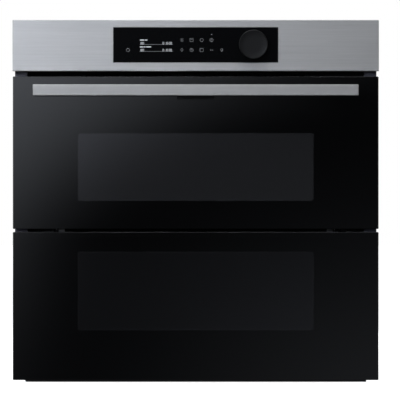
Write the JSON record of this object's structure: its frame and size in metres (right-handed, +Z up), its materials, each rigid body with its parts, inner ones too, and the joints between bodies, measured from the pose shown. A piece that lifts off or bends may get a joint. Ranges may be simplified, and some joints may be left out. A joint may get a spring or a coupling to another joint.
{
  "type": "wall oven",
  "caption": "Built-in wall oven with a brushed steel control panel, a split black glass door, bar handle and rotary knob.",
  "frame": {"origin": "centre of the chassis base underside", "axes": "+X to the right seen from the front, +Y to the rear, +Z up; the doors face -Y"},
  "size_m": [0.595, 0.6144, 0.589],
  "materials": {
    "stainless": "brushed satin",
    "galvanised_steel": "galvanised, satin",
    "black_enamel": "glossy vitreous enamel with fine specks",
    "front_frame_paint": "satin",
    "trim_plastic": "matt",
    "chromed_wire": "polished",
    "steel": "satin",
    "heater_steel": "dull oxidised steel",
    "mineral_wool": "fibrous",
    "seal_rubber": "matt",
    "aluminium": "satin",
    "motor_metal": "satin",
    "lamp_ceramic": "matt",
    "lamp_glass": "frosted",
    "inner_glass": "clear",
    "door_glass": "polished black glass",
    "housing_plastic": "matt",
    "circuit_board": "satin",
    "knob_plastic": "satin"
  },
  "bodies": {
    "chassis": {"base_plate": "galvanised_steel", "side_panels": "galvanised_steel", "top_cover": "galvanised_steel", "rear_cover": "galvanised_steel", "front_frame": "front_frame_paint", "side_trims": "trim_plastic", "cavity_liner": "black_enamel", "insulation_blanket": "mineral_wool", "cavity_gasket": "seal_rubber", "rack_supports": "chromed_wire", "wire_rack": "chromed_wire", "baking_tray": "black_enamel", "cavity_divider": "steel", "grill_element": "heater_steel", "base_element": "heater_steel", "ring_elements": "heater_steel", "fan_cover": "black_enamel", "fan_motors": "motor_metal", "lamp_holders": "lamp_ceramic", "lamp_lenses": "lamp_glass", "temperature_probe": "steel", "cooling_duct": "galvanised_steel", "blower_motor": "motor_metal", "power_board": "circuit_board", "terminal_block": "housing_plastic", "cable_grommet": "seal_rubber", "control_fascia": "stainless", "display_glass": "door_glass", "control_housing": "housing_plastic", "display_board": "circuit_board", "hinge_arms": "steel", "hinge_receivers": "galvanised_steel"},
    "lower_door": {"lower_door_glass": "door_glass", "lower_door_frame": "front_frame_paint", "lower_inner_panes": "inner_glass", "lower_glass_rails": "housing_plastic", "hinge_cases": "galvanised_steel", "hinge_pins": "steel", "door_springs": "steel", "mid_hinge_brackets": "galvanised_steel"},
    "spring_rods": {"spring_rods": "steel"},
    "upper_door": {"upper_door_glass": "door_glass", "upper_door_frame": "front_frame_paint", "upper_inner_panes": "inner_glass", "upper_glass_rails": "housing_plastic", "door_top_trim": "trim_plastic", "mid_seal": "seal_rubber", "mid_hinge_blocks": "galvanised_steel", "handle_bar": "stainless", "handle_posts": "stainless", "handle_screws": "steel", "lever_housing": "trim_plastic"},
    "release_lever": {"release_lever": "trim_plastic"},
    "lock_shaft": {"lock_shaft": "steel"},
    "lock_rods": {"lock_rods": "steel"},
    "knob_shaft": {"knob_shaft": "steel"},
    "control_knob": {"control_knob": "knob_plastic"},
    "upper_fan": {"upper_fan": "aluminium"},
    "lower_fan": {"lower_fan": "aluminium"},
    "blower_impeller": {"blower_impeller": "aluminium"}
  },
  "joints": [
    {"name": "full_door_hinge", "type": "hinge", "parent": "chassis", "child": "lower_door", "pos_m": [0, -0.2865, 0.015], "axis": [1, 0, 0], "range_deg": [0, 90], "stiffness_Nm_per_rad": 6, "springref_deg": -51.57},
    {"name": "upper_door_hinge", "type": "hinge", "parent": "lower_door", "child": "upper_door", "pos_m": [0, -0.2865, 0.2585], "axis": [1, 0, 0], "range_deg": [0, 88], "stiffness_Nm_per_rad": 2, "springref_deg": -51.57},
    {"name": "spring_rods_slide", "type": "slide", "parent": "lower_door", "child": "spring_rods", "axis": [0, 0, -1], "range_m": [0, 0.012], "deforming": ["door_springs"]},
    {"name": "lever_press", "type": "hinge", "parent": "upper_door", "child": "release_lever", "pos_m": [0, -0.301, 0.47], "axis": [-1, 0, 0], "range_deg": [0, 15]},
    {"name": "lock_shaft_turn", "type": "hinge", "parent": "upper_door", "child": "lock_shaft", "pos_m": [0, -0.2835, 0.4705], "axis": [-1, 0, 0], "range_deg": [0, 15]},
    {"name": "lock_rods_slide", "type": "slide", "parent": "upper_door", "child": "lock_rods", "axis": [0, 0, -1], "range_m": [0, 0.0052], "stiffness_N_per_m": 1000, "springref_m": -0.006},
    {"name": "knob_push", "type": "slide", "parent": "chassis", "child": "knob_shaft", "axis": [0, 1, 0], "range_m": [0, 0.0015], "stiffness_N_per_m": 800, "springref_m": -0.002},
    {"name": "knob_turn", "type": "hinge", "parent": "knob_shaft", "child": "control_knob", "pos_m": [0.0937, -0.3, 0.549], "axis": [0, -1, 0], "continuous": true},
    {"name": "upper_fan_spin", "type": "hinge", "parent": "chassis", "child": "upper_fan", "pos_m": [0, 0.16, 0.3405], "axis": [0, 1, 0], "continuous": true},
    {"name": "lower_fan_spin", "type": "hinge", "parent": "chassis", "child": "lower_fan", "pos_m": [0, 0.16, 0.1555], "axis": [0, 1, 0], "continuous": true},
    {"name": "blower_spin", "type": "hinge", "parent": "chassis", "child": "blower_impeller", "pos_m": [0, 0.15, 0.54], "axis": [1, 0, 0], "continuous": true}
  ],
  "couplings": [
    {"joint": "spring_rods_slide", "follows": "full_door_hinge", "m_per_rad": 0.007639},
    {"joint": "lever_press", "follows": "lock_rods_slide", "rad_per_m": 50.3},
    {"joint": "lock_shaft_turn", "follows": "lock_rods_slide", "rad_per_m": 50.3}
  ]
}
